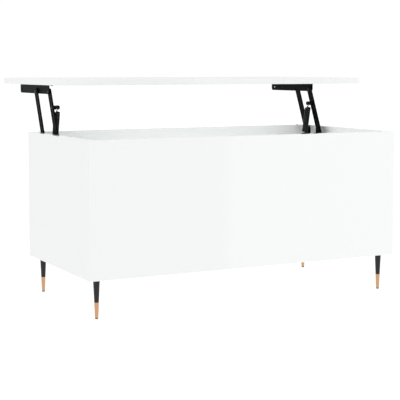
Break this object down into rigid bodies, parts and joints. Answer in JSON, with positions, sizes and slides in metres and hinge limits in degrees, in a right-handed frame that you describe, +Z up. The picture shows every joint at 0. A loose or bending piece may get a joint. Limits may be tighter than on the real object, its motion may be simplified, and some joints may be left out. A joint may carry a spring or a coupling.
{
  "type": "lift top coffee table",
  "caption": "Low rectangular storage table on slim tapered legs; its top rises and moves out over the lap on two parallel-arm lift mechanisms with coil springs.",
  "frame": {"origin": "on the floor, under the middle of the raised table's outline in X and Y", "axes": "+X along the length of the table, +Y the way the top moves out as it rises, +Z up"},
  "size_m": [0.9, 0.6194, 0.5753],
  "materials": {
    "white_lacquer": "high gloss white lacquer on fibreboard",
    "copper_ferrule": "satin copper tan",
    "black_leg": "satin black paint",
    "glide_plastic": "moulded grey nylon",
    "bumper_rubber": "clear soft bumper",
    "dowel_wood": "fluted beech dowel",
    "zinc_fittings": "zinc plated die cast and steel",
    "spring_steel": "blackened spring wire",
    "black_screws": "black zinc screws",
    "washer_nylon": "black nylon",
    "black_pins": "black zinc steel",
    "black_mechanism": "black powder coat on pressed steel"
  },
  "bodies": {
    "box": {"corner_cam_bolts": "zinc_fittings", "corner_cam_locks": "zinc_fittings", "corner_dowels": "dowel_wood", "floor_cam_bolts": "zinc_fittings", "floor_cam_locks": "zinc_fittings", "floor_panel": "white_lacquer", "front_left_ferrule": "copper_ferrule", "front_left_leg": "black_leg", "front_panel": "white_lacquer", "front_right_ferrule": "copper_ferrule", "front_right_leg": "black_leg", "left_base_bracket": "black_mechanism", "left_bracket_screws": "black_screws", "left_end_panel": "white_lacquer", "left_lower_pins": "black_pins", "left_lower_spacers": "washer_nylon", "left_lower_spring_stud": "black_pins", "left_stop_pin": "black_pins", "leg_bolts": "zinc_fittings", "leg_glides": "glide_plastic", "leg_inserts": "zinc_fittings", "rear_left_ferrule": "copper_ferrule", "rear_left_leg": "black_leg", "rear_panel": "white_lacquer", "rear_right_ferrule": "copper_ferrule", "rear_right_leg": "black_leg", "right_base_bracket": "black_mechanism", "right_bracket_screws": "black_screws", "right_end_panel": "white_lacquer", "right_lower_pins": "black_pins", "right_lower_spacers": "washer_nylon", "right_lower_spring_stud": "black_pins", "right_stop_pin": "black_pins", "rim_bumpers": "bumper_rubber"},
    "left_guide_arm_body": {"left_guide_arm": "black_mechanism"},
    "left_main_arm_body": {"left_main_arm": "black_mechanism", "left_upper_spring_stud": "black_pins"},
    "top": {"left_rail_screws": "black_screws", "left_top_rail": "black_mechanism", "left_upper_pins": "black_pins", "left_upper_washers": "washer_nylon", "right_rail_screws": "black_screws", "right_top_rail": "black_mechanism", "right_upper_pins": "black_pins", "right_upper_washers": "washer_nylon", "top_panel": "white_lacquer"},
    "left_spring_foot": {"left_spring_coil": "spring_steel"},
    "left_spring_head": {"left_spring_upper_hook": "spring_steel"},
    "right_guide_arm_body": {"right_guide_arm": "black_mechanism"},
    "right_main_arm_body": {"right_main_arm": "black_mechanism", "right_upper_spring_stud": "black_pins"},
    "right_spring_foot": {"right_spring_coil": "spring_steel"},
    "right_spring_head": {"right_spring_upper_hook": "spring_steel"}
  },
  "joints": [
    {"name": "lift", "type": "hinge", "parent": "box", "child": "left_main_arm_body", "pos_m": [-0.4055, 0.00534, 0.4225], "axis": [1, 0, 0], "range_deg": [0, 118.2]},
    {"name": "top_level", "type": "hinge", "parent": "left_main_arm_body", "child": "top", "pos_m": [-0.4055, 0.057, 0.53852], "axis": [1, 0, 0], "range_deg": [-118.2, 0]},
    {"name": "right_main_arm_turn", "type": "hinge", "parent": "box", "child": "right_main_arm_body", "pos_m": [0.4055, 0.00534, 0.4225], "axis": [1, 0, 0], "range_deg": [0, 118.2]},
    {"name": "left_guide_arm_turn", "type": "hinge", "parent": "box", "child": "left_guide_arm_body", "pos_m": [-0.4145, 0.08534, 0.4225], "axis": [1, 0, 0], "range_deg": [0, 118.2]},
    {"name": "right_guide_arm_turn", "type": "hinge", "parent": "box", "child": "right_guide_arm_body", "pos_m": [0.4145, 0.08534, 0.4225], "axis": [1, 0, 0], "range_deg": [0, 118.2]},
    {"name": "left_spring_turn", "type": "hinge", "parent": "left_main_arm_body", "child": "left_spring_head", "pos_m": [-0.391, 0.0391, 0.49832], "axis": [1, 0, 0], "range_deg": [-45.07, 0]},
    {"name": "left_spring_stretch", "type": "slide", "parent": "left_spring_head", "child": "left_spring_foot", "axis": [0, 0.213, -0.977], "range_m": [0, 0.04221], "deforming": ["left_spring_coil"]},
    {"name": "right_spring_turn", "type": "hinge", "parent": "right_main_arm_body", "child": "right_spring_head", "pos_m": [0.391, 0.0391, 0.49832], "axis": [1, 0, 0], "range_deg": [-45.07, 0]},
    {"name": "right_spring_stretch", "type": "slide", "parent": "right_spring_head", "child": "right_spring_foot", "axis": [0, 0.213, -0.977], "range_m": [0, 0.04221], "deforming": ["right_spring_coil"]}
  ],
  "couplings": [
    {"joint": "top_level", "follows": "lift", "ratio": -1},
    {"joint": "right_main_arm_turn", "follows": "lift", "ratio": 1},
    {"joint": "left_guide_arm_turn", "follows": "lift", "ratio": 1},
    {"joint": "right_guide_arm_turn", "follows": "lift", "ratio": 1},
    {"joint": "left_spring_turn", "follows": "lift", "ratio": -0.38127},
    {"joint": "left_spring_stretch", "follows": "lift", "m_per_rad": 0.020459},
    {"joint": "right_spring_turn", "follows": "lift", "ratio": -0.38127},
    {"joint": "right_spring_stretch", "follows": "lift", "m_per_rad": 0.020459}
  ]
}
